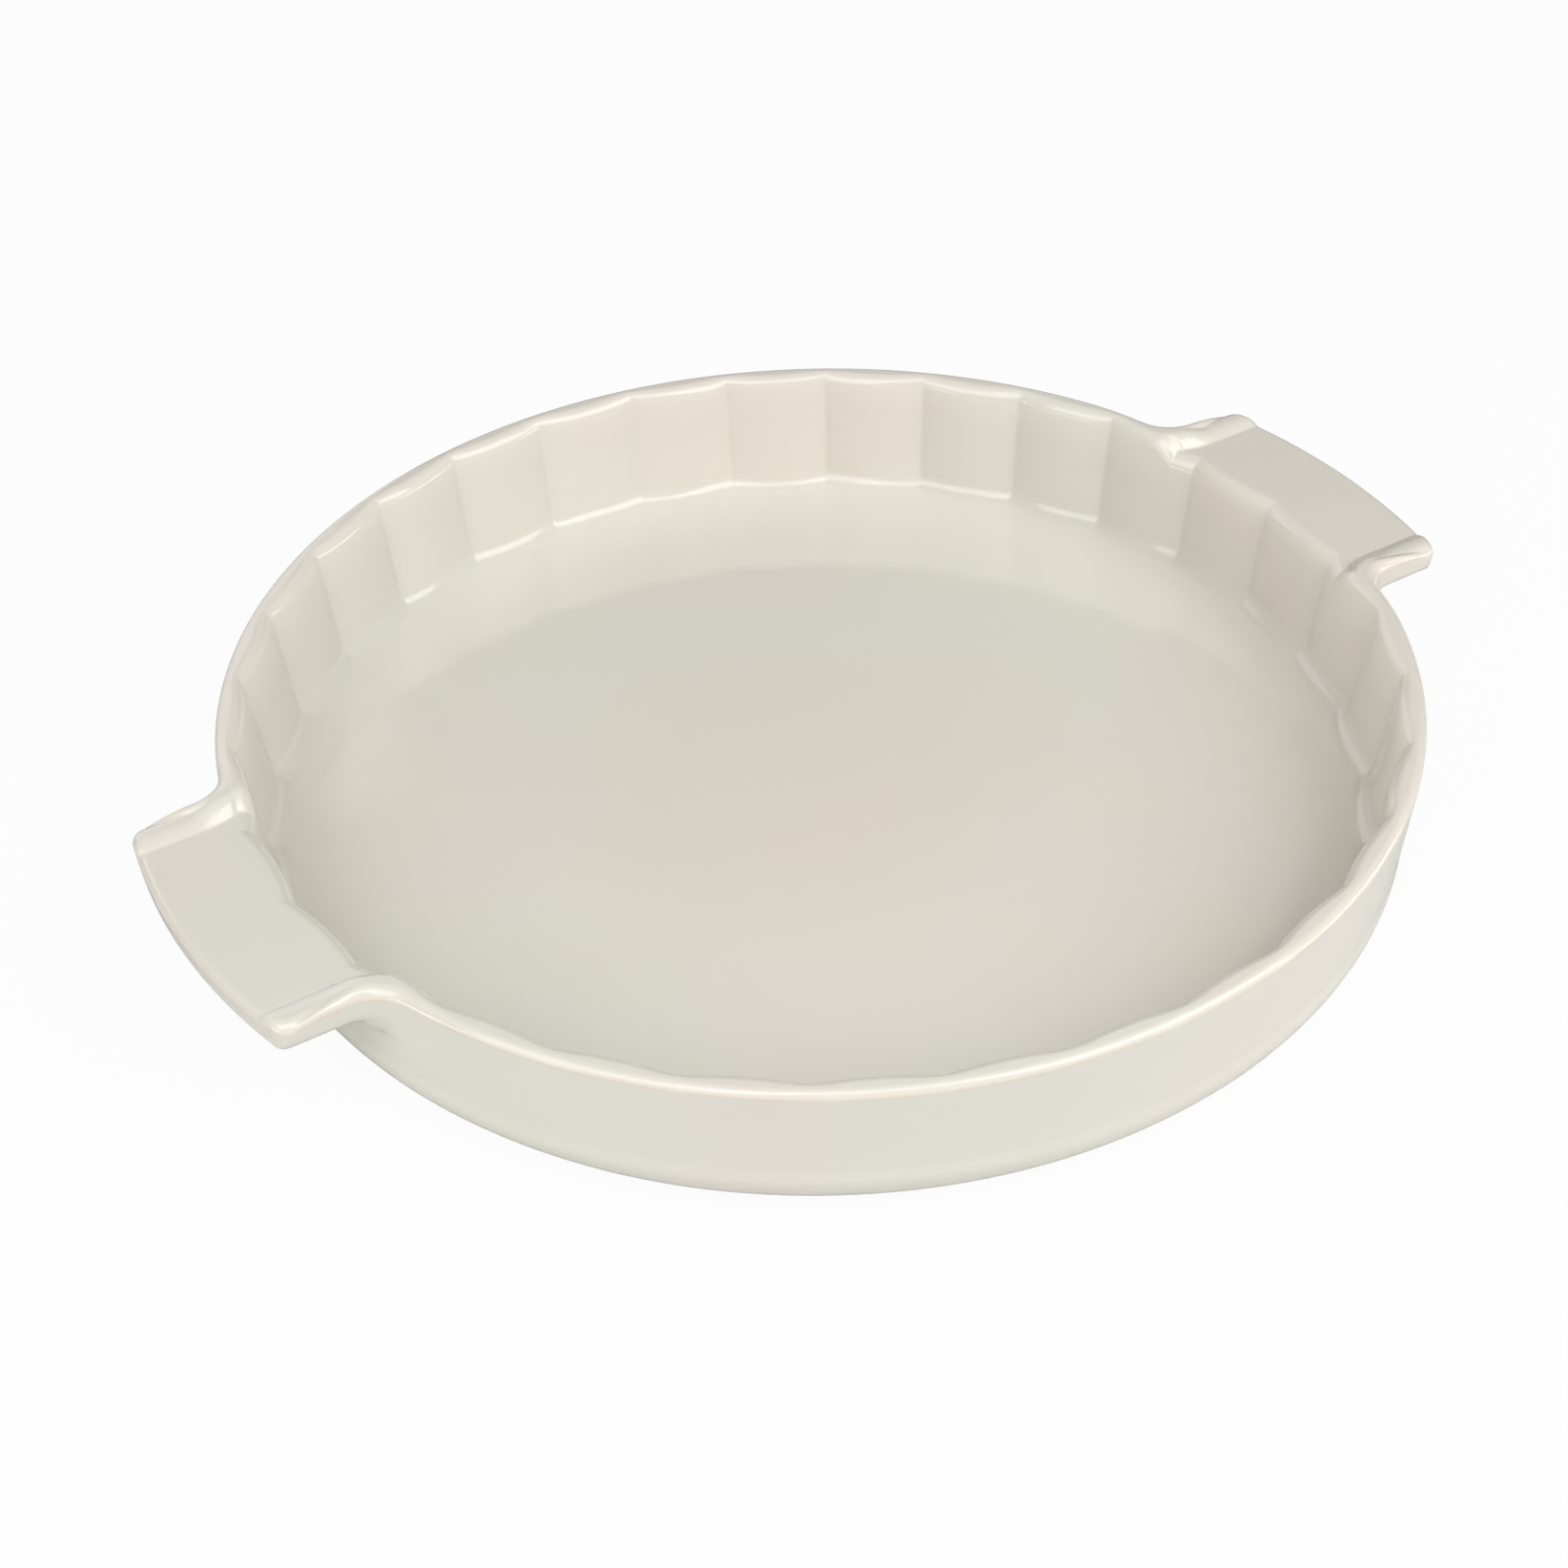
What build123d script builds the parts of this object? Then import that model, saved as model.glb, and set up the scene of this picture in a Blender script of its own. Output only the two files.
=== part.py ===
from build123d import *
import os
from math import atan, cos, degrees, hypot, radians, sin, tan

os.makedirs("parts", exist_ok=True)

# Round fluted pie dish in millimetres, +Z up
# The foot stands on z = 0, the dish is centred on the Z axis and its two handles lie along X

# Whole dish
rim_diameter = 300.0
height = 41.3
wall_draft = 6.2
base_rounding = 12.0
floor_thickness = 6.9
rim_outer_rounding = 3.2
rim_inner_rounding = 2.2

# Flutes pressed into the inside wall, sharp creases outward and soft lobes inward
flute_count = 32
flute_depth = 1.3
flute_draft = 8.4
wall_at_crease = 5.7
cove_radius = 5.0

# Unglazed foot ring
foot_height = 1.0
foot_width = 6.0
foot_inset = 17.0
foot_edge_chamfer = 0.4

# Handles, each a sunk plate between two ridges that run out of the rim
handle_reach = 23.0
handle_width = 85.0
handle_thickness = 9.2
handle_corner = 4.5
handle_sweep = 10.0
root_stand = 3.0
handle_lower_rounding = 2.0
ridge_width = 10.2
ridge_inner_slope = 25.0
ridge_drop = 1.8
ridge_fall = 8.2
fall_clearance = 0.4
plate_drop = 3.4
plate_edge_rounding = 2.0
mouth_flare = 14.0

# How far a cutting shape runs past what it cuts, and how closely a corner is matched
overrun = 3.0
match = 0.01

rim_radius = rim_diameter / 2
handle_radius = rim_radius + handle_reach
floor_top = foot_height + floor_thickness
handle_underside = height - handle_thickness
plate_top = height - plate_drop
plate_half_width = handle_width / 2 - ridge_width


def wall_radius(z):
    """Radius of the smooth drafted outside wall at a height."""
    return rim_radius - (height - z) * tan(radians(wall_draft))


def crease_radius(z):
    """Radius of the flute creases in the inside wall at a height."""
    return rim_radius - wall_at_crease - (height - z) * tan(radians(flute_draft))


def at_radius(corners, radius):
    """The corners that lie at one distance from the dish's axis."""
    return [corner for corner in corners if abs(hypot(corner.X, corner.Y) - radius) < match]


def turned(points, corner=None, rounding=0.0):
    """A solid of revolution from an outline of radius and height pairs, with one corner rounded."""
    outline = make_face(Polyline(*points, close=True))
    if corner is not None:
        near = [v for v in outline.vertices() if (v.center() - Vector(*corner)).length < match]
        outline = fillet(near, rounding)
    return revolve(Plane.XZ * outline, Axis.Z)


def top_edges(shape):
    """Edges of the flat top of the rim."""
    return shape.edges().filter_by_position(Axis.Z, height - match, height + match)


def bowl_blank():
    """The solid lump inside the smooth outside wall, with its rounded base."""
    base_corner = (wall_radius(foot_height), foot_height)
    outline = [(0, foot_height), base_corner, (rim_radius, height), (0, height)]
    return turned(outline, base_corner, base_rounding)


def handle_lugs():
    """Both lugs as one bar through the dish, drafted like the wall, with softened lower edges."""
    plan = Rectangle(handle_radius * 3, handle_width) & Circle(handle_radius)
    plan = fillet(at_radius(plan.vertices(), handle_radius), handle_corner)
    bar = extrude(Plane.XY.offset(height) * plan, -handle_thickness, taper=wall_draft)
    lower_edges = bar.faces().sort_by(Axis.Z)[0].edges()
    return fillet(lower_edges, handle_lower_rounding)


def on_wall(edge):
    """True for an edge that lies in the drafted outside wall, below the rim."""
    ends_and_middle = [edge.position_at(share) for share in (0, 0.5, 1)]
    below_rim = min(point.Z for point in ends_and_middle) < height - match
    above_base = min(point.Z for point in ends_and_middle) > foot_height + base_rounding
    in_wall = all(abs(hypot(p.X, p.Y) - wall_radius(p.Z)) < match for p in ends_and_middle)
    return below_rim and above_base and in_wall


def blank_with_handles():
    """Bowl lump and lugs, with the root of each lug swept into the wall all round."""
    blank = bowl_blank() + handle_lugs()
    roots = blank.edges().filter_by(on_wall)
    return fillet(roots, handle_sweep) - space_over_ridges()


def space_over_ridges():
    """Cut that lets both ridges fall in a soft S from the rim to a little below it."""
    start = crease_radius(height) + rim_inner_rounding + fall_clearance
    bend = 2 * atan(ridge_drop / ridge_fall)
    bend_radius = ridge_fall / (2 * sin(bend))
    over = JernArc((start, height), (1, 0), bend_radius, -degrees(bend))
    under = JernArc(over @ 1, over % 1, bend_radius, degrees(bend))
    far = handle_radius + overrun
    top = height + overrun
    roof = Polyline(under @ 1, (far, height - ridge_drop), (far, top), (start, top), (start, height))
    outline = Plane.XZ * make_face([over, under, roof])
    space = extrude(outline, handle_width, both=True)
    return space + mirror(space, Plane.YZ)


def fluted_core():
    """The lump that leaves the fluted inside: a drafted plug shaved by one tapered peg per lobe."""
    top = height + overrun
    low = floor_top - overrun
    half_pitch = radians(180 / flute_count)
    crease = crease_radius(height)
    lobe = crease - flute_depth
    chord_gap = crease * cos(half_pitch) - lobe
    spread = crease**2 - 2 * crease * lobe * cos(half_pitch) + lobe**2
    peg_radius = spread / (2 * chord_gap)
    flare = tan(radians(flute_draft))
    wide = peg_radius + (height - low) * flare
    narrow = peg_radius - (top - height) * flare
    peg = Solid.make_cone(wide, narrow, top - low)
    pegs = [turn * Pos(lobe + peg_radius, 0, low) * peg for turn in lobe_turns()]
    plug = turned([(0, floor_top), (rim_radius, floor_top), (rim_radius, top), (0, top)])
    core = plug - pegs
    floor_edges = core.faces().sort_by(Axis.Z)[0].edges()
    return fillet(floor_edges, cove_radius)


def lobe_turns():
    """One turn about the axis for each lobe, half a flute off the handles."""
    pitch = 360 / flute_count
    return [Rotation(0, 0, (flute + 0.5) * pitch) for flute in range(flute_count)]


def handle_pocket():
    """Cut that sinks both handle plates, opening in a flare where it meets the rim's mouth."""
    mouth_radius = crease_radius(height) - flute_depth - rim_inner_rounding
    plan = Circle(mouth_radius) + Rectangle(handle_radius * 3, plate_half_width * 2)
    plan = fillet(at_radius(plan.vertices(), mouth_radius), mouth_flare)
    plan -= Rectangle(mouth_radius * 2 - mouth_flare * 2, mouth_radius * 3)
    plan &= Rectangle(handle_radius * 3, handle_width)
    return extrude(Plane.XY.offset(plate_top) * plan, plate_drop + overrun, taper=-ridge_inner_slope)


def plate_edge_cut():
    """Cut that rounds the outer top edge of the sunk plates, between the ridges."""
    depth = height - plate_top
    edge = (handle_radius - depth * tan(radians(wall_draft)), plate_top)
    low = plate_top - plate_edge_rounding * 2
    foot = edge[0] - plate_edge_rounding * 2 * tan(radians(wall_draft))
    kept = turned([(rim_radius, low), (foot, low), edge, (rim_radius, plate_top)], edge, plate_edge_rounding)
    reach = handle_radius + overrun
    band = turned([(rim_radius, low), (reach, low), (reach, plate_top), (rim_radius, plate_top)])
    between_ridges = extrude(Rectangle(handle_radius * 3, plate_half_width * 2), height)
    return (band - kept) & between_ridges


def fired_body():
    """The whole dish above its foot, as one body."""
    body = fillet_top(blank_with_handles())
    body -= fluted_core()
    mouth = [e for e in top_edges(body) if hypot(e.center().X, e.center().Y) < crease_radius(height)]
    body = fillet(mouth, rim_inner_rounding)
    return body - handle_pocket() - plate_edge_cut()


def fillet_top(blank):
    """The blank with the outer edge of its rim and handles rounded."""
    low = height - ridge_drop - match
    tops = [f for f in blank.faces() if f.center().Z > low and f.normal_at(f.center()).Z > sin(radians(45))]
    middles = [round_point(e.center()) for face in tops for e in face.edges()]
    outer = [e for e in blank.edges() if middles.count(round_point(e.center())) == 1]
    return fillet(outer, rim_outer_rounding)


def round_point(point):
    """A point as rounded numbers, to find the edge that two faces share."""
    return tuple(round(value, 2) for value in point)


def root_cone():
    """Everything within the outside wall and the first of the handles' swept roots."""
    top = height + overrun
    return turned([(0, 0), (wall_radius(0) + root_stand, 0), (wall_radius(top) + root_stand, top), (0, top)])


def foot_ring():
    """Low ring under the floor that the dish stands on."""
    outer = wall_radius(foot_height) - foot_inset
    inner = outer - foot_width
    ring = turned([(inner, 0), (outer, 0), (outer, foot_height), (inner, foot_height)])
    return chamfer(ring.edges().filter_by_position(Axis.Z, -match, match), foot_edge_chamfer)


body = fired_body()
cone = root_cone()
bowl = body & cone
handles = (body - cone).solids().sort_by(Axis.X)
nodes = {
    "bowl": bowl,
    "left_handle": handles[0],
    "right_handle": handles[-1],
    "foot_ring": foot_ring(),
}
for name, shape in nodes.items():
    shape.label = name
    export_step(shape, f"parts/{name}.step")
    box = shape.bounding_box()
    print(name, "solids", len(shape.solids()), "volume", round(shape.volume), "size", box.size)
print("handles found", len(handles))
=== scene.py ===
# %% [markdown]
# # A fluted stoneware pie dish
# This notebook dresses the CAD model of a round pie dish for a photograph.
# The real dish is pressed in a mould from one lump of clay, glazed all over in a soft ecru
# and fired standing on its bare foot. We load the CAD parts first, because they hold the true
# sizes, and write down how big they are before anything is added.

import math

import bpy
import numpy as np
from mathutils import Matrix, Vector


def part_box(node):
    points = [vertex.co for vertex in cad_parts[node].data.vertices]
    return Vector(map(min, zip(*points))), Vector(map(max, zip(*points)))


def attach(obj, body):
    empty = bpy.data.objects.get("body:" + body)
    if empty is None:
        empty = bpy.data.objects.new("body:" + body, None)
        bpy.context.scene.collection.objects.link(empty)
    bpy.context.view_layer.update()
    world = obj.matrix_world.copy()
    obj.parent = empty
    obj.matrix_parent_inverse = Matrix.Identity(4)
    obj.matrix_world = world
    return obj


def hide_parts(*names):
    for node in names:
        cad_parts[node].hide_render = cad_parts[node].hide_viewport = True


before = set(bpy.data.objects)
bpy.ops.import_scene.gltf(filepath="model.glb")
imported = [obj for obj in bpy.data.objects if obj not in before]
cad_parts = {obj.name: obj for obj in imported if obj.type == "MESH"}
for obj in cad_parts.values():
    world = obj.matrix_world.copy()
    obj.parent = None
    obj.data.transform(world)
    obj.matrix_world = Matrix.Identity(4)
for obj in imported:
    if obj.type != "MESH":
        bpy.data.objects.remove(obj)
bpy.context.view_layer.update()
print("parts:", sorted(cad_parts))

# %% [markdown]
# ## Sizes read from the parts
# A glaze is a thin skin that softens every edge, so the dish gets a fresh, finer skin than the
# CAD facets. That skin must fit the parts, so the sizes that can be measured on them are
# measured, and the ones a mould maker would set by hand are named here. All of them are metres.
# The rim's and the handles' radii are a hair under the part's, to keep the skin within its box.

# %% Measure the dish
mm = 0.001
bowl_low, bowl_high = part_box("bowl")
foot_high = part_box("foot_ring")[1]

height = bowl_high.z
base = bowl_low.z
rim_radius = 149.87 * mm
handle_radius = 172.98 * mm
handle_half_width = 42.5 * mm
handle_underside = height - 9.2 * mm
foot_radius = foot_high.x
wall_slope = math.tan(math.radians(6.2))
print("rim", rim_radius, "height", round(height, 4), "handle radius", round(handle_radius, 4))

# %% [markdown]
# ## The plan of the dish
# Seen from above, the outside edge is one smooth line: round the rim, out along a handle, across
# its end and back. It can be drawn with curve tools, but then the rounded edges have to be
# offset by hand. Here the line is a small sum instead. For every direction from the centre it
# answers how far out the edge is, and it can be asked for the same line drawn a little further
# in, which is how the rounded edges are made later.

# %% Draw the plan
handle_corner = 4.5 * mm
handle_sweep = 10 * mm
smallest_corner = 0.6 * mm
least_sine = 0.01


def along_ray(turn, centre_x, centre_y, radius, side):
    """How far along a ray from the axis a circle is met, on its far side (+1) or near side (-1)."""
    middle = centre_x * np.cos(turn) + centre_y * np.sin(turn)
    inside = middle**2 - (centre_x**2 + centre_y**2 - radius**2)
    return middle + side * np.sqrt(np.maximum(inside, 0))


def folded(turn):
    """Angle from the nearer handle's centre line, because all four quarters are alike."""
    turn = np.abs((turn + math.pi) % (2 * math.pi) - math.pi)
    return np.minimum(turn, math.pi - turn)


def plan_edge(turn, inset):
    """Radius of the dish's outside edge in each direction, with the edge drawn in by an inset."""
    fold = folded(turn)
    half = handle_half_width - inset
    rim = rim_radius - inset
    end = handle_radius - inset
    corner = np.maximum(handle_corner - inset, smallest_corner)
    corner_x = np.sqrt((end - corner) ** 2 - (half - corner) ** 2)
    sweep = handle_sweep + inset
    sweep_x = np.sqrt((rim + sweep) ** 2 - (half + sweep) ** 2)
    limits = [
        fold < np.arctan2(half - corner, corner_x),
        fold < np.arctan2(half, corner_x),
        fold < np.arctan2(half, sweep_x),
        fold < np.arctan2(half + sweep, sweep_x),
    ]
    lines = [
        end + 0 * fold,
        along_ray(fold, corner_x, half - corner, corner, 1),
        half / np.maximum(np.sin(fold), least_sine),
        along_ray(fold, sweep_x, half + sweep, sweep, -1),
    ]
    return np.select(limits, lines, rim)


print("edge at a handle and at the rim:", plan_edge(np.radians([0, 90]), 0.0))

# %% [markdown]
# ## The flutes
# Thirty-two flutes are pressed into the inside wall. Each is a shallow lobe that swells inward
# between two sharp creases. A wave would make them all soft, so each lobe is an arc of a big
# circle, and neighbouring arcs meet in a crease, just as the CAD has them. They are drawn a
# little deeper than there, because the scallops along the photographed rim are.

# %% Shape the flutes
flute_count = 32
flute_depth = 2.0 * mm
wall_at_crease = 4.8 * mm
flute_slope = math.tan(math.radians(8.4))
half_flute = math.pi / flute_count
crease_radius = rim_radius - wall_at_crease
lobe_radius = crease_radius - flute_depth
chord_gap = crease_radius * math.cos(half_flute) - lobe_radius
spread = crease_radius**2 - 2 * crease_radius * lobe_radius * math.cos(half_flute) + lobe_radius**2
arc_radius = spread / (2 * chord_gap)
arc_centre = lobe_radius + arc_radius


def mouth_radius(turn):
    """Radius of the inside wall where it would reach the rim's top, before its edge is rounded."""
    within = (turn / half_flute) % 2 - 1
    away = within * half_flute
    return arc_centre * np.cos(away) - np.sqrt(arc_radius**2 - (arc_centre * np.sin(away)) ** 2)


print("wall thickness at the mouth", round((rim_radius - lobe_radius) / mm, 1), "mm at a lobe")

# %% [markdown]
# ## The sunk plates
# Each handle is a flat plate a little lower than the rim, held between two ridges that run out
# of the rim. As in a landscape, this is easiest as a height for every point of the plan: full
# height on the rim, a little less on the ridges, lower still on the plate, with a soft slope
# between. The ridges' inner lines flare into the mouth.

# %% Shape the plates and ridges
plate_half_width = 33.0 * mm
plate_drop = 3.4 * mm
ridge_round_width = 5.0 * mm
flare_start = 152 * mm
flare_length = 12 * mm
flare_width = 3.0 * mm
ridge_drop = 1.8 * mm
fall_start = 145.5 * mm
fall_length = 9 * mm
beside_handles = 118 * mm
widest_flare = 1.3


def eased(share):
    """A share from 0 to 1 that starts and stops gently."""
    share = np.clip(share, 0, 1)
    return share * share * (3 - 2 * share)


def plate_line(x):
    """Half the width of the sunk plate at a distance from the dish's middle."""
    flare = np.clip((flare_start - np.abs(x)) / flare_length, 0, widest_flare)
    return plate_half_width + flare_width * flare**2


def sunk_share(x, y):
    """0 on the rim and ridges, 1 on the sunk plates."""
    outward = np.clip((np.abs(y) - plate_line(x)) / ridge_round_width, 0, 1)
    return (1 - outward) ** 2 * (np.abs(x) > beside_handles)


def top_height(x, y):
    """Height of the top surface over a point of the plan."""
    fall = ridge_drop * eased((np.abs(x) - fall_start) / fall_length)
    ridges = height - fall
    return ridges + (height - plate_drop - ridges) * sunk_share(x, y)


print("plate height", round(float(top_height(np.array(160 * mm), np.array(0.0))) / mm, 1), "mm")

# %% [markdown]
# ## Directions round the dish
# The skin is a net. Its long threads run from the middle of the floor, over the rim and back
# under the dish, one for each direction. They must be close together where the plan turns
# quickly, at the corners and roots of the handles. Some directions must have a thread exactly:
# every crease, and the two places where a handle parts from the wall.

# %% Choose the directions
lobe_steps = 12
closest = 0.11
parting_stand = 3 * mm
beside_crease = 0.25
quarter_flutes = flute_count // 4
# Start, end and step, in degrees, of the extra threads past a handle's corner and root
handle_stretches = ((9.0, 10.2, 0.3), (10.2, 18.0, 0.13), (18.0, 21.4, 0.3))
search_start, search_end, search_step = 12, 20, 0.001
search = np.radians(np.arange(search_start, search_end, search_step))
parting_turn = math.degrees(search[np.argmax(plan_edge(search, 0) < rim_radius + parting_stand)])


def quarter_turns():
    """Directions in one quarter, in degrees, from a handle's centre to the side of the dish."""
    pitch = 360 / flute_count
    creases = [pitch * flute for flute in range(quarter_flutes + 1)]
    fixed = creases + [parting_turn]
    free = [pitch * step / lobe_steps for step in range(quarter_flutes * lobe_steps)]
    for stretch in handle_stretches:
        free += list(np.arange(*stretch))
    free += [crease + side * beside_crease for crease in creases for side in (-1, 1)]
    kept = list(fixed)
    for spot in sorted(free):
        if 0 < spot < 90 and min(abs(spot - other) for other in kept) > closest:
            kept.append(spot)
    return np.array(sorted(kept))


quarter = quarter_turns()
half_turn = np.concatenate([quarter, 180 - quarter[-2::-1]])
turns = np.radians(np.concatenate([half_turn, half_turn[1:-1] + 180]))
print("threads:", len(turns), "and the handles part at", round(parting_turn, 2), "degrees")

# %% [markdown]
# ## One thread of the skin
# Now the section of the dish is drawn for all directions at once, as rings: floor, cove, fluted
# wall, rounded mouth, top, rounded edge, side, and so on under the dish to the middle. A lathe
# (screw) modifier could spin one section, but here the section changes on its way round, so
# each ring is worked out as radii and heights and the net is tied afterwards. Each ring also
# notes how thin or how thick the glaze lies on it, for the colours later. First come the sizes
# of the section and the function that keeps a ring.

# %% Name the sizes of the section
floor_height = base + 6.9 * mm
cove_radius = 5 * mm
mouth_width = 3.2 * mm
mouth_depth = 3.2 * mm
lip_rounding = 4.4 * mm
rim_rounding = 2.4 * mm
flank_rounding = 3.6 * mm
plate_rounding = 2.2 * mm
lower_rounding = 2 * mm
root_rounding = 9 * mm
base_rounding = 12 * mm
tan_line_tilt = math.radians(76)
tan_line_spread = math.radians(9)
plate_turn = math.radians(13.8)
plate_blend = math.radians(2.2)
flank_turn = math.radians(25)
flank_blend = math.radians(8)
foot_width = 6 * mm
floor_margin = 15 * mm
foot_margin = 1 * mm

# How many rings some stretches of the section are drawn with
cove_rings = 10
lip_rings = 12
top_steps = 10
edge_steps = 18
lower_steps = 4
base_steps = 12

# Shares of the way along a stretch at which its rings lie
floor_shares = (0.12, 0.3, 0.5, 0.68, 0.82, 0.91, 0.96)
inside_wall_shares = (0.15, 0.3, 0.45, 0.6, 0.75, 0.88)
fifth_shares = (0.2, 0.4, 0.6, 0.8, 1.0)
underside_shares = (0.35, 0.6, 0.78, 0.9, 1.0)
root_shares = (0.12, 0.25, 0.38, 0.5, 0.62, 0.74, 0.85, 0.94, 1.0)

# How thick or thin the glaze lies at some places, and how much painted shade the outer rounding gets, from
# 0 to 1
cove_pool_share = 0.4
crease_pool = 0.6
wall_pool_share = 0.3
# Painted shade: share of a darker tone laid over the whole outer rounding, which faces the lamps
rounding_painted_shade = 0.3
under_pool = 0.5

rings = []


def ring(radius, level, tan_line_and_shade=0.0, pooled=0.0):
    """Adds one closed ring to the net, with how pooled the glaze is on it and how much tan line and painted
    shade lie on it.
    """
    nothing = 0 * turns
    rings.append(np.stack([radius + nothing, level + nothing, tan_line_and_shade + nothing, pooled + nothing]))


mouth = mouth_radius(turns)
fold = folded(turns)
sunk = sunk_share(mouth * np.cos(turns), mouth * np.sin(turns))
in_crease = eased((mouth - lobe_radius) / (crease_radius - lobe_radius) * 2 - 1)
print("the floor lies", round(floor_height / mm, 1), "mm above the table")

# %% [markdown]
# ## From the floor to the mouth
# The flat floor turns up into the leaning wall through a cove. The wall's top edge is rounded,
# and more so along the sunk plates. At the creases the wall is thin, so there the round is
# narrower.

# %% Draw the inside
floor_edge = mouth - (height - floor_height) * flute_slope
lean = math.atan(flute_slope)
upright = math.pi / 2 - lean
cove_reach = cove_radius * math.tan(upright / 2)
for share in floor_shares:
    ring(share * (lobe_radius - floor_margin), floor_height)
for step in np.linspace(0, 1, cove_rings):
    angle = step * upright
    radius = floor_edge - cove_reach + cove_radius * math.sin(angle)
    ring(radius, floor_height + cove_radius * (1 - math.cos(angle)), pooled=1 - abs(step - cove_pool_share))

room_share = 0.95
just_outside = 1.018
narrow = np.minimum(mouth_width, (rim_radius - mouth - rim_rounding) * room_share)
lip_width = narrow + (lip_rounding - narrow) * sunk
lip_depth = mouth_depth + (lip_rounding - mouth_depth) * sunk
outside = mouth * just_outside
mouth_top = top_height(outside * np.cos(turns), outside * np.sin(turns))
lip_level = mouth_top - lip_depth
lip_middle = mouth - (height - lip_level) * flute_slope + lip_width / math.cos(lean)
wall_start = floor_height + cove_radius * (1 - math.cos(upright))
for share in inside_wall_shares:
    level = wall_start + (lip_level - wall_start) * share
    pool = crease_pool * in_crease + crease_pool * max(wall_pool_share - share, 0)
    ring(mouth - (height - level) * flute_slope, level, pooled=pool)
for step in np.linspace(0, 1, lip_rings):
    angle = lean + step * upright
    level = lip_level + lip_depth * (math.sin(angle) - math.sin(lean) * (1 - step))
    ring(lip_middle - lip_width * math.cos(angle), level, pooled=crease_pool * in_crease * (1 - step))
print("rings up to the mouth:", len(rings))

# %% [markdown]
# ## Over the top and round the edge
# The rings go on over the rim, the ridges and the plates, at the heights found above. One of
# them follows the line where the handles part from the bowl. The outer edge is a quarter circle,
# wider along the handles' sides than round the rim. The glaze thins to a tan hair line on it, and
# a painted shade darkens the whole rounding.

# %% Draw the top and the edge
at_end = eased((plate_turn - fold) / plate_blend)
at_flank = eased((flank_turn - fold) / flank_blend)
rounding = rim_rounding + (flank_rounding - rim_rounding) * at_flank
rounding = rounding + (plate_rounding - rounding) * at_end
edge_guess = plan_edge(turns, rounding)
edge_sink = height - top_height(edge_guess * np.cos(turns), edge_guess * np.sin(turns))
outer_radius = plan_edge(turns, rounding + edge_sink * wall_slope)
nearest_share, farthest_share = 0.3, 0.9
parting_share = (rim_radius + parting_stand - lip_middle) / (outer_radius - lip_middle)
parting_share = np.clip(parting_share, nearest_share, farthest_share)
parting_radius = lip_middle + (outer_radius - lip_middle) * parting_share
for share in np.linspace(0, 1, top_steps + 1)[1:]:
    radius = lip_middle + (parting_radius - lip_middle) * share
    ring(radius, top_height(radius * np.cos(turns), radius * np.sin(turns)))
top_parting = len(rings) - 1
for share in np.linspace(0, 1, top_steps + 1)[1:]:
    radius = parting_radius + (outer_radius - parting_radius) * share
    ring(radius, top_height(radius * np.cos(turns), radius * np.sin(turns)))

edge_level = rings[-1][1]
for step in np.linspace(0, 1, edge_steps + 1)[1:]:
    angle = step * math.pi / 2
    drop = rounding * (1 - math.cos(angle))
    hair_line = math.exp(-(((angle - tan_line_tilt) / tan_line_spread) ** 2))
    inset = rounding * (1 - math.sin(angle)) + (height - edge_level + drop * math.sin(angle)) * wall_slope
    # The hair line is tan clay under thin glaze; over the rest of the rounding lies a weaker painted shade
    tan_line_and_shade = hair_line + (1 - hair_line) * rounding_painted_shade * math.sin(step * math.pi)
    ring(plan_edge(turns, inset), edge_level - drop, tan_line_and_shade=tan_line_and_shade)
print("rings up to the outer edge:", len(rings))

# %% [markdown]
# ## Down the side and under the handles
# A handle is flat below, and its root sweeps down into the wall in a wide round. Every ring goes
# right round the dish and can't stop where a handle does. So beside the handles the same rings
# bend gently into the wall, and elsewhere they lie on it.

# %% Draw the sides and the handles' undersides
def wall_line(level):
    """Radius of the smooth outside wall at a height."""
    return rim_radius - (height - level) * wall_slope


side_top = rings[-1][1]
side_low = handle_underside + lower_rounding
for share in fifth_shares:
    level = side_top + (side_low - side_top) * share
    ring(plan_edge(turns, (height - level) * wall_slope), level)


def stands_out(inset):
    """How far the handle stands out from the wall in each direction, at an inset of the plan."""
    return np.maximum(plan_edge(turns, inset) - (rim_radius - inset), 0)


stand = stands_out((height - side_low) * wall_slope)
full_share = eased(stand / (root_rounding + lower_rounding))
under_steps = lower_steps + len(underside_shares) + len(root_shares)
root_level = handle_underside - root_rounding


def under_ring(number, away, level):
    """One ring under a handle, which turns into a gentle bend where the handle dies into the wall."""
    share = number / under_steps
    gentle_away = stand * (1 - eased(share))
    gentle_level = side_low + (root_level - side_low) * share
    away = gentle_away + (away - gentle_away) * full_share
    level = gentle_level + (level - gentle_level) * full_share
    ring(wall_line(level) + away, level)


def swept_level(away, share):
    """Height under a handle at a distance from the wall, with its root swept down into the wall."""
    within = np.clip(root - away, 0, None)
    arch = np.sqrt(np.maximum(root**2 - within**2, 0))
    return handle_underside - root + arch - (root_rounding - root) * share


for number in range(1, lower_steps + 1):
    angle = number / lower_steps * math.pi / 2
    level = side_low - lower_rounding * math.sin(angle)
    inset = (height - level) * wall_slope + lower_rounding * (1 - math.cos(angle))
    under_ring(number, stands_out(inset), level)

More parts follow.
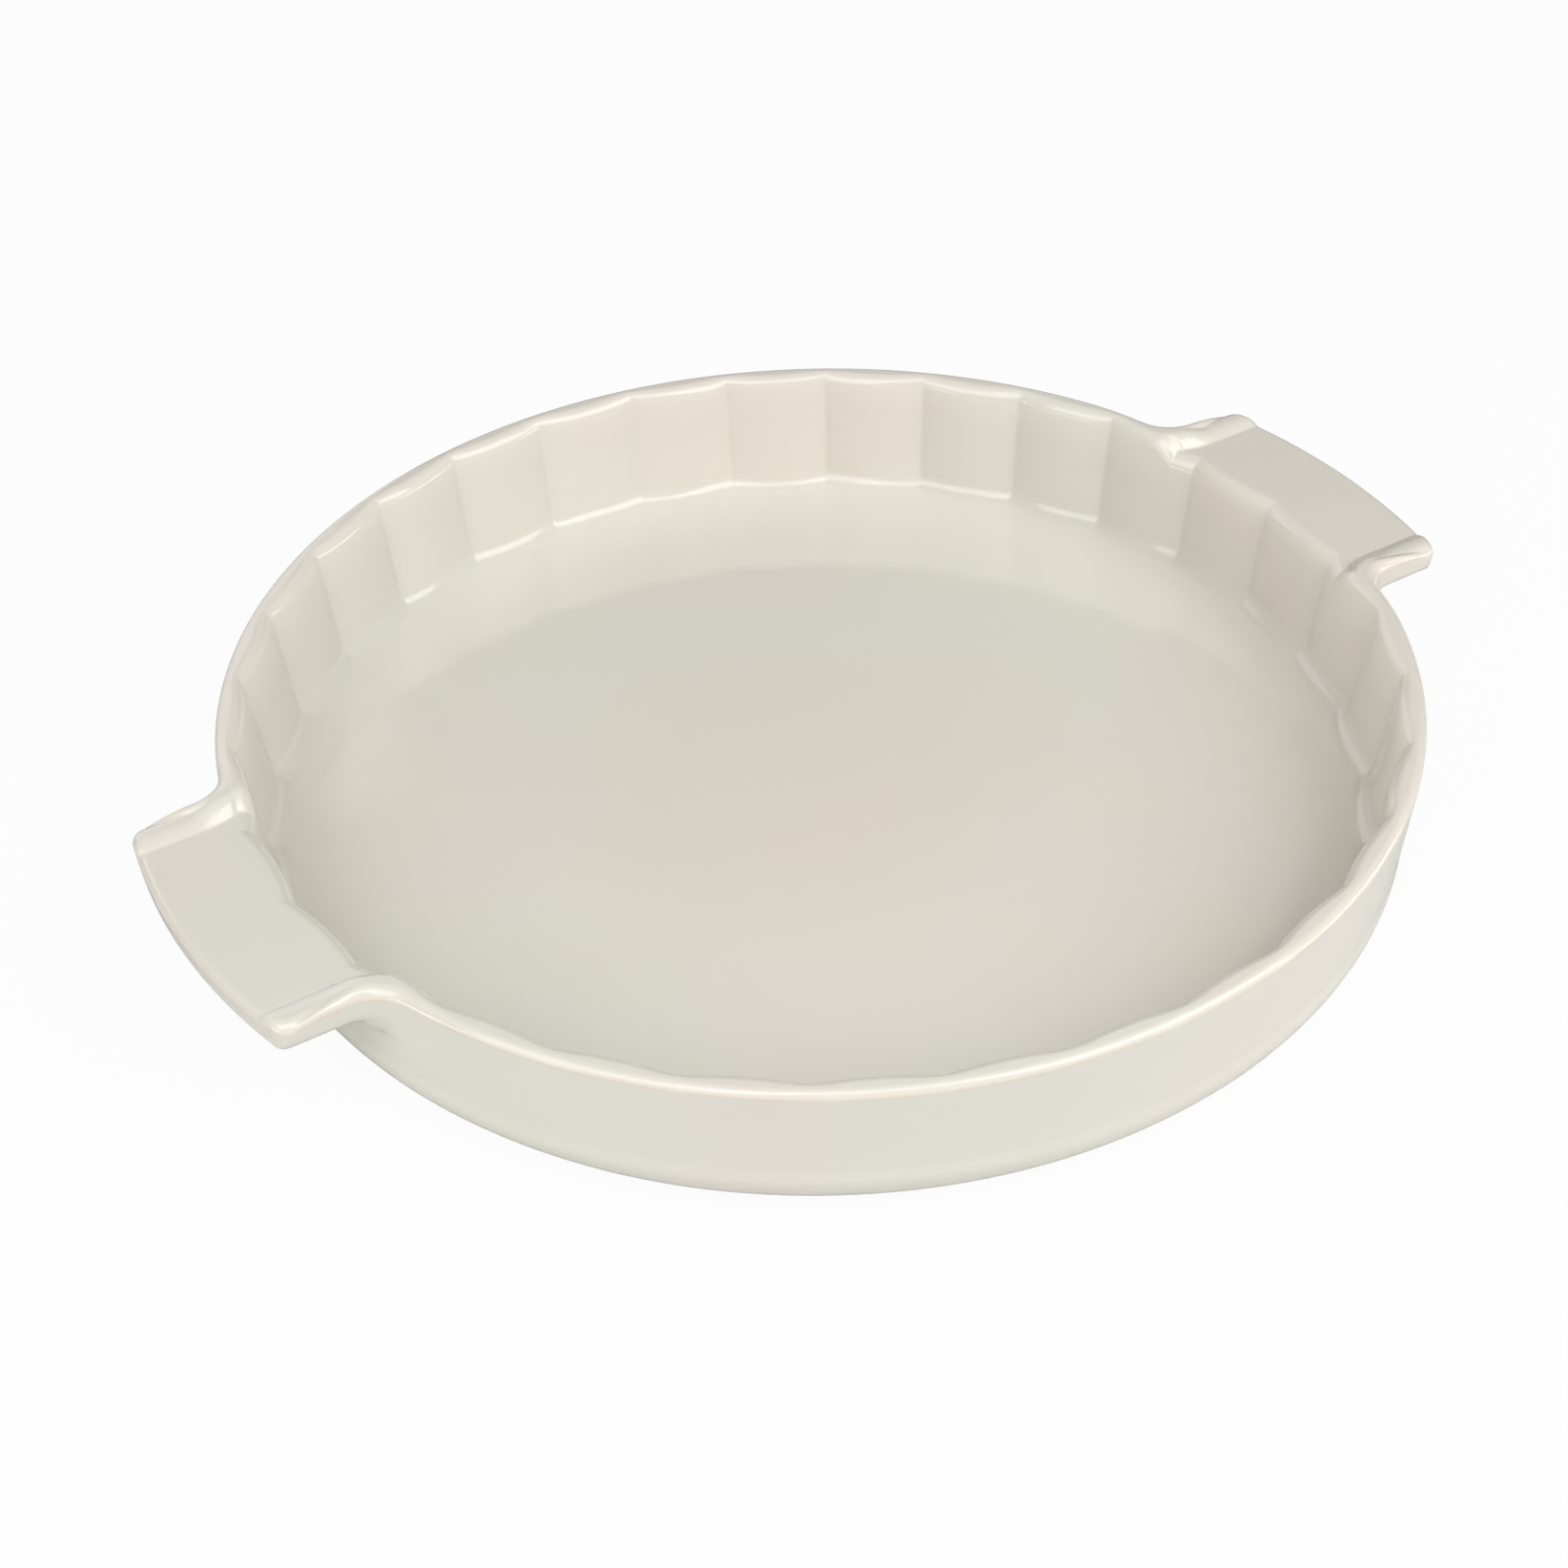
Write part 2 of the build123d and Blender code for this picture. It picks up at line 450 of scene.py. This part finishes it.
reach_out = stands_out((height - handle_underside) * wall_slope + lower_rounding)
root = np.minimum(root_rounding, reach_out)
near = np.minimum(reach_out, parting_stand)
for number, share in enumerate(underside_shares, start=lower_steps + 1):
    away = reach_out + (near - reach_out) * share
    under_ring(number, away, swept_level(away, share / 2))
low_parting = len(rings) - 1
for number, share in enumerate(root_shares, start=lower_steps + len(underside_shares) + 1):
    away = near * (1 - share)
    under_ring(number, away, swept_level(away, 0.5 + share / 2))
print("rings down to the handles' roots:", len(rings))

# %% [markdown]
# ## Down the wall and under the base
# Below the handles the wall is a plain cone. It turns under in a wide round and goes on flat to
# the middle, with a few rings where the foot will sit.

# %% Draw the wall and the base
wall_top = rings[-1][1]
wall_lean = math.atan(wall_slope)
bend_level = base + base_rounding * (1 + math.sin(wall_lean))
for share in fifth_shares:
    level = wall_top + (bend_level - wall_top) * share
    ring(wall_line(level), level)
for step in np.linspace(0, 1, base_steps + 1)[1:]:
    angle = step * (math.pi / 2 + wall_lean) - wall_lean
    radius = wall_line(bend_level) - base_rounding * (math.cos(wall_lean) - math.cos(angle))
    ring(radius, base + base_rounding * (1 - math.sin(angle)), pooled=step)
foot_radii = (foot_radius + foot_margin, foot_radius, foot_radius - foot_width)
middle_radii = (110 * mm, 90 * mm, 60 * mm, 30 * mm, 10 * mm)
for radius in foot_radii + middle_radii:
    ring(radius, base, pooled=under_pool * (radius in foot_radii))
print("rings:", len(rings))

# %% [markdown]
# ## Tie the net
# Every ring has the same number of points, so the net is a grid of four-sided faces, closed at
# both ends by a fan of triangles round a middle point. The whole net is tied once, only to ask
# it which way every point faces. The pieces cut from it keep those directions, so the light
# runs over the joints between bowl and handles as it does over one fired body.

# %% Tie the net
net = np.stack(rings, axis=1)
count = len(turns)
radii, levels = net[0], net[1]
points = np.stack([radii * np.cos(turns), radii * np.sin(turns), levels], axis=-1).reshape(-1, 3)
points = np.vstack([points, [0, 0, floor_height], [0, 0, base]])
floor_middle, base_middle = range(len(points) - 2, len(points))


def corner(row, column):
    """Number of the point where a ring and a thread cross."""
    return row * count + column % count


def quad(row, column):
    """The face between two rings and two threads."""
    beside = column + 1
    return (corner(row, column), corner(row + 1, column), corner(row + 1, beside), corner(row, beside))


last = len(rings) - 1
fans = [(floor_middle, corner(0, column), corner(0, column + 1)) for column in range(count)]
fans += [(base_middle, corner(last, column + 1), corner(last, column)) for column in range(count)]
grid = [(row, column) for row in range(last) for column in range(count)]

whole = bpy.data.meshes.new("whole_skin")
whole.from_pydata(points.tolist(), [], [quad(row, column) for row, column in grid] + fans)
facing = np.array([vertex.normal for vertex in whole.vertices])
bpy.data.meshes.remove(whole)
print("faces in the whole skin:", len(grid) + len(fans))

# %% [markdown]
# ## Part the handles from the bowl
# On the real dish everything is one lump of clay, but the library keeps the bowl and its two
# handles as pieces. The CAD parts them on a cone just outside the wall, so the same cut is made
# here: the faces beyond the cone go to a handle, and a cap closes both sides of the cut.

# %% Make the three pieces
reach = int(np.argmin(np.abs(turns - math.radians(parting_turn))))
hub_depth = 1 * mm
end_radius = radii[top_parting:low_parting + 1, reach].mean() - hub_depth
end_level = levels[top_parting:low_parting + 1, reach].mean()
end_turn = (turns[reach - 1] + turns[reach]) / 2
hub_turns = [-end_turn, end_turn, math.pi - end_turn, math.pi + end_turn]
hubs = range(len(points), len(points) + len(hub_turns))
hub_points = [(end_radius * math.cos(turn), end_radius * math.sin(turn), end_level) for turn in hub_turns]
points = np.vstack([points, hub_points])
tan_line_and_shade_values = np.append(net[2].reshape(-1), np.zeros(len(points) - net[2].size))
pooling = np.append(net[3].reshape(-1), np.zeros(len(points) - net[3].size))


def beyond(row, column, middle):
    """True for a face that belongs to the handle round a thread."""
    offset = (column - middle + count // 2) % count - count // 2
    return top_parting <= row < low_parting and -reach <= offset < reach


def fan(loop, hub):
    """Triangles from every side of a loop to its hub."""
    return [(number, following, hub) for number, following in zip(loop, loop[1:] + loop[:1])]


def cap(middle, first_hub, final_hub):
    """Faces that close the cut of the handle round a thread: a strip, and a fan at both ends."""
    first, final = middle - reach, middle + reach
    rows = range(top_parting, low_parting + 1)
    top = [corner(top_parting, column) for column in range(first + 1, final)]
    low = [corner(low_parting, column) for column in range(first + 1, final)]
    strip = [(top[step], top[step + 1], low[step + 1], low[step]) for step in range(len(top) - 1)]
    start = [top[0], low[0]] + [corner(row, first) for row in reversed(rows)]
    end = [low[-1], top[-1]] + [corner(row, final) for row in rows]
    return fan(start, first_hub) + strip + fan(end, final_hub)


def piece(name, faces, caps, slot, *nodes):
    """An object from faces of the net and caps, facing as the whole skin does."""
    used = sorted({number for face in faces + caps for number in face})
    renumbered = {number: new_number for new_number, number in enumerate(used)}
    mesh = bpy.data.meshes.new(name)
    own_faces = [[renumbered[number] for number in face] for face in faces + caps]
    mesh.from_pydata(points[used].tolist(), [], own_faces)
    # One attribute holds the tan hair line together with the painted shade on the outer rounding
    for label, values in (("thin_glaze_and_painted_shade", tan_line_and_shade_values), ("pooled_glaze", pooling)):
        attribute = mesh.attributes.new(label, "FLOAT", "POINT")
        attribute.data.foreach_set("value", values[used].astype(np.float32))
    mesh.shade_smooth()
    directions = [tuple(facing[number]) for face in faces for number in face]
    for polygon in list(mesh.polygons)[len(faces):]:
        directions += [tuple(polygon.normal)] * polygon.loop_total
    mesh.normals_split_custom_set(directions)
    item = bpy.data.objects.new(name, mesh)
    bpy.context.scene.collection.objects.link(item)
    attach(item, "root")
    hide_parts(*nodes)
    print(name, "faces:", len(mesh.polygons))
    return item


handles = {"right_handle": (0, hubs[0], hubs[1]), "left_handle": (count // 2, hubs[2], hubs[3])}
caps, skins = {}, {}
for name, (middle, first_hub, final_hub) in handles.items():
    caps[name] = cap(middle, first_hub, final_hub)
    skins[name] = [quad(*cross) for cross in grid if beyond(*cross, middle)]
taken = {face for faces in skins.values() for face in faces}
bowl_faces = [quad(*cross) for cross in grid if quad(*cross) not in taken] + fans
bowl_caps = [face[::-1] for faces in caps.values() for face in faces]
glazed = [piece("glazed_bowl", bowl_faces, bowl_caps, "glazed_stoneware", "bowl")]
for name in handles:
    glazed.append(piece("glazed_" + name, skins[name], caps[name], "glazed_stoneware", name))

# %% [markdown]
# ## The foot ring
# The dish stands on a low bare ring. The CAD ring has plain bevels, and a potter's sponge leaves
# them rounder, so the ring is drawn again with soft edges and tied the same way, closed on
# itself.

# %% Make the foot
foot_rounding = 0.45 * mm
foot_step = 1.5
bevel_points = 6
foot_turns = np.radians(np.arange(0, 360, foot_step))
outline = [(foot_radius, foot_high.z)]
for middle, start in ((foot_radius - foot_rounding, 0), (foot_radius - foot_width + foot_rounding, 90)):
    for angle in np.radians(np.linspace(start, start + 90, bevel_points)):
        outline.append((middle + foot_rounding * math.cos(angle), foot_rounding * (1 - math.sin(angle))))
outline.append((foot_radius - foot_width, foot_high.z))

foot_points = [(r * math.cos(t), r * math.sin(t), z) for r, z in outline for t in foot_turns]
around = len(foot_turns)


def foot_corner(row, column):
    """Number of a point of the foot, counted round its outline and round the dish."""
    return row % len(outline) * around + column % around


foot_faces = []
for row in range(len(outline)):
    for column in range(around):
        loop = ((row, column + 1), (row, column), (row + 1, column), (row + 1, column + 1))
        foot_faces.append([foot_corner(*cross) for cross in loop])

foot_mesh = bpy.data.meshes.new("bare_foot")
foot_mesh.from_pydata(foot_points, [], foot_faces)
foot_mesh.shade_smooth()
foot = bpy.data.objects.new("bare_foot", foot_mesh)
bpy.context.scene.collection.objects.link(foot)
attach(foot, "root")
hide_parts("foot_ring")
print("foot faces:", len(foot_faces))

# %% [markdown]
# ## A small language for shaders
# Node trees are hard to read as long lists of links. One small class wraps a socket, so that
# shader sums can be written like ordinary sums, and one method adds any other node. The node
# editor shows the same trees as boxes and wires.

# %% A socket that can be added and multiplied
class Field:
    """A socket of a node tree that takes part in sums."""

    def __init__(self, tree, socket):
        self.tree = tree
        self.socket = socket

    def node(self, kind, settings, inputs, output=0):
        """Adds any node: its settings first, then the values or links of its sockets."""
        made = self.tree.nodes.new(kind)
        for name, value in settings.items():
            setattr(made, name, value)
        for name, value in inputs.items():
            self.feed(made.inputs[name], value)
        return Field(self.tree, made.outputs[output])

    def feed(self, socket, value):
        """Puts a number, a colour or a link on a socket."""
        if isinstance(value, Field):
            self.tree.links.new(value.socket, socket)
        else:
            socket.default_value = value

    def maths(self, operation, first, second):
        """A sum of two sockets or numbers."""
        return self.node("ShaderNodeMath", {"operation": operation}, {0: first, 1: second})

    def __add__(self, other):
        return self.maths("ADD", self, other)

    def __sub__(self, other):
        return self.maths("SUBTRACT", self, other)

    def __rsub__(self, other):
        return self.maths("SUBTRACT", other, self)

    def __mul__(self, other):
        return self.maths("MULTIPLY", self, other)

    __radd__ = __add__

    def between(self, low, high):
        """0 at low, 1 at high, eased in between."""
        limits = {"Value": self, "From Min": low, "From Max": high}
        return self.node("ShaderNodeMapRange", {"interpolation_type": "SMOOTHSTEP"}, limits)

    def noise(self, scale, detail):
        """Cloudy noise over a place in the object's own metres."""
        return self.node("ShaderNodeTexNoise", {}, {"Vector": self, "Scale": scale, "Detail": detail})

    def blend(self, colour, other):
        """A colour with another laid over it, by this share."""
        return self.node("ShaderNodeMix", {"data_type": "RGBA"}, {0: self, 6: colour, 7: other}, 2)

    def bumped(self, strength, distance):
        """The direction a surface faces when this height is laid on it."""
        return self.node("ShaderNodeBump", {}, {"Height": self, "Strength": strength, "Distance": distance})


def new_material(name):
    """A material with its Principled shader and the place of every point on the object."""
    material = bpy.data.materials.new(name)
    material.use_nodes = True
    tree = material.node_tree
    place = Field(tree, tree.nodes.new("ShaderNodeTexCoord").outputs["Object"])
    return material, tree.nodes["Principled BSDF"].inputs, place


def srgb(red, green, blue):
    """A colour as a screen shows it, from 0 to 255, turned into the light it stands for."""
    shares = [channel / 255 for channel in (red, green, blue)]
    return tuple(s / 12.92 if s <= 0.04045 else ((s + 0.055) / 1.055) ** 2.4 for s in shares) + (1.0,)


print("srgb(188, 188, 188) is", round(srgb(188, 188, 188)[0], 2), "of full light")

# %% [markdown]
# ## The glaze
# An ecru stoneware glaze is opaque and glossy. It is not one colour: it drifts between a pale
# green and a cream, with a rosy tone round the middle of the floor and in faint clouds. It pools
# in the cove, in the creases and at the foot, where it looks greener, and it draws back from the
# outer edge, where the tan clay shows as a hair line. Painted shade darkens the rest of the outer
# rounding towards the same tan. The pools, the line and the shade come from the notes that the
# rings left on the mesh.

# %% Mix the glaze
glaze, sockets, place = new_material("ecru_glaze")
tan_line_and_shade = place.node("ShaderNodeAttribute", {"attribute_name": "thin_glaze_and_painted_shade"}, {}, "Fac")
pooled = place.node("ShaderNodeAttribute", {"attribute_name": "pooled_glaze"}, {}, "Fac")
drift = place.noise(7.0, 1.5)
cloud = place.noise(24.0, 2.0)
fine = place.noise(900.0, 2.0)
broken = place.noise(60.0, 3.0)
rosy_middle = (-0.01, -0.01, 0.008)
two_places = {0: place, 1: rosy_middle}
from_middle = place.node("ShaderNodeVectorMath", {"operation": "DISTANCE"}, two_places, "Value")

pale_green = srgb(228, 226, 214)
rosy = srgb(230, 223, 209)
cream = srgb(229, 224, 213)
thick_coat = srgb(216, 216, 200)
# Tan of the bare clay, also used as the colour of the painted shade on the outer rounding
tan_clay_and_shade = srgb(208, 182, 148)
in_middle = 1 - (from_middle + drift * 0.1).between(0.07, 0.13)
# Tan hair line plus painted shade over the whole outer rounding, broken up by noise
clay_and_painted_shade = tan_line_and_shade * (0.12 + broken.between(0.3, 0.55) * 0.22)
colour = drift.between(0.44, 0.6).blend(pale_green, cream)
colour = (in_middle * 0.8).blend(colour, rosy)
colour = (cloud.between(0.52, 0.75) * 0.25).blend(colour, rosy)
colour = (pooled * 0.35).blend(colour, thick_coat)
colour = clay_and_painted_shade.blend(colour, tan_clay_and_shade)
place.feed(sockets["Base Color"], colour)
place.feed(sockets["Roughness"], 0.07 + cloud.between(0.3, 0.8) * 0.04 + tan_line_and_shade * 0.12)
place.feed(sockets["Normal"], fine.bumped(0.03, 0.0004))
for item in glazed:
    item.data.materials.append(glaze)
print("glaze nodes:", len(glaze.node_tree.nodes))

# %% [markdown]
# ## The bare foot
# The ring is wiped clean of glaze before firing, so that it does not stick to the kiln shelf.
# Its clay is warmer, darker and quite dull, with fine grit and the grey of many worktops
# rubbed into its lowest edge.

# %% Mix the bare clay
clay, sockets, place = new_material("bare_clay")
grit = place.noise(1400.0, 4.0)
patches = place.noise(60.0, 3.0)
pale_clay = srgb(203, 178, 148)
warm_clay = srgb(186, 158, 126)
brown_grit = srgb(150, 122, 94)
worktop_grey = srgb(148, 140, 130)
worn_height = 0.0004
above_table = place.node("ShaderNodeSeparateXYZ", {}, {0: place}, "Z")
worn = (1 - above_table.between(0, worn_height)) * patches.between(0.4, 0.6)
colour = patches.between(0.35, 0.65).blend(pale_clay, warm_clay)
colour = (grit.between(0.6, 0.75) * 0.5).blend(colour, brown_grit)
colour = (worn * 0.5).blend(colour, worktop_grey)
place.feed(sockets["Base Color"], colour)
place.feed(sockets["Roughness"], 0.78 + patches.between(0.3, 0.7) * 0.12)
place.feed(sockets["Normal"], grit.bumped(0.35, 0.0003))
foot.data.materials.append(clay)
print("clay nodes:", len(clay.node_tree.nodes))

# %% [markdown]
# ## The studio
# The dish was photographed from above its front, on white. A large grey floor carries its soft
# shadow. It turns nearly pure white for the camera alone, so that it doesn't flood the dish with
# light from below.

# %% Lay the floor
floor_size = 8
white_share = 0.95
ambient_light = 0.01
bpy.ops.mesh.primitive_plane_add(size=floor_size, location=(0, 0, 0))
floor = bpy.context.object
floor.name = "studio_floor"
paper, sockets, place = new_material("white_paper")
place.feed(sockets["Base Color"], (0.68, 0.68, 0.68, 1.0))
place.feed(sockets["Roughness"], 0.9)
tree = paper.node_tree
glow = place.node("ShaderNodeEmission", {}, {"Strength": 1.0}, "Emission")
matt = Field(tree, tree.nodes["Principled BSDF"].outputs["BSDF"])
seen = place.node("ShaderNodeLightPath", {}, {}, "Is Camera Ray") * white_share
surface = place.node("ShaderNodeMixShader", {}, {0: seen, 1: matt, 2: glow})
place.feed(tree.nodes["Material Output"].inputs["Surface"], surface)
floor.data.materials.append(paper)

world = bpy.data.worlds.new("studio")
bpy.context.scene.world = world
world.use_nodes = True
world.node_tree.nodes["Background"].inputs["Color"].default_value = (1, 1, 1, 1)
world.node_tree.nodes["Background"].inputs["Strength"].default_value = ambient_light
print("floor:", floor.name)

# %% [markdown]
# ## The lights
# Soft boxes stand round the table: a strong one at either side of the camera, a weaker one high
# over it and one behind the dish. Two long strips at the sides stand so low that their light
# comes in nearly level: it falls on the outside wall and hardly reaches inside. They could as
# well be placed by hand in the viewport, but named bearings and climbs are easier to adjust.

# %% Set the lamps
lamp_distance = 1.45
aim_height = 0.02


def lamp(name, bearing, climb, width, tall, power, tint=(1, 1, 1)):
    """A soft box at a bearing from +X and a climb above the table, aimed at the dish."""
    bearing, climb = math.radians(bearing), math.radians(climb)
    flat = math.cos(climb)
    way = Vector((flat * math.cos(bearing), flat * math.sin(bearing), math.sin(climb)))
    light = bpy.data.lights.new(name, "AREA")
    light.shape = "RECTANGLE"
    light.size = width
    light.size_y = tall
    light.energy = power
    light.color = tint
    item = bpy.data.objects.new(name, light)
    item.location = way * lamp_distance + Vector((0, 0, aim_height))
    item.rotation_euler = way.to_track_quat("Z", "Y").to_euler()
    bpy.context.scene.collection.objects.link(item)


lamp("left_softbox", 200, 40, 1.15, 1.0, 9.9, (1, 0.97, 1))
lamp("right_softbox", 298, 40, 1.15, 1.0, 13.6)
lamp("over_camera", 248, 62, 1.0, 0.7, 5.8)
lamp("left_low", 182, 1.6, 0.9, 0.08, 3.4)
lamp("right_low", 330, 1.6, 0.9, 0.08, 3.8)
lamp("back", 95, 20, 1.0, 1.0, 4.4)
print("lamps:", len(bpy.data.lights))

# %% [markdown]
# ## The camera
# The photographer stood in front, a little to the left of the dish, and looked down at about
# forty degrees through a long lens, which keeps the rim's ellipse calm.

# %% Place the camera
yaw, pitch, roll = (math.radians(angle) for angle in (31.522, 38.432, -1.593))
camera_place = Vector((-325.906, -513.535, 489.117)) * mm
forward = Vector((math.sin(yaw) * math.cos(pitch), math.cos(yaw) * math.cos(pitch), -math.sin(pitch)))
level_right = Vector((math.cos(yaw), -math.sin(yaw), 0))
level_up = level_right.cross(forward)
right = math.cos(roll) * level_right + math.sin(roll) * level_up
up = math.cos(roll) * level_up - math.sin(roll) * level_right
lens = bpy.data.cameras.new("view")
lens.lens = 69.44
lens.sensor_width = 36
lens.clip_start = 0.01
lens.clip_end = 20
camera = bpy.data.objects.new("view", lens)
camera.matrix_world = Matrix.Translation(camera_place) @ Matrix((right, up, -forward)).transposed().to_4x4()
bpy.context.scene.collection.objects.link(camera)
bpy.context.scene.camera = camera
bpy.context.scene.view_settings.view_transform = "Standard"
print("lens", lens.lens, "mm")
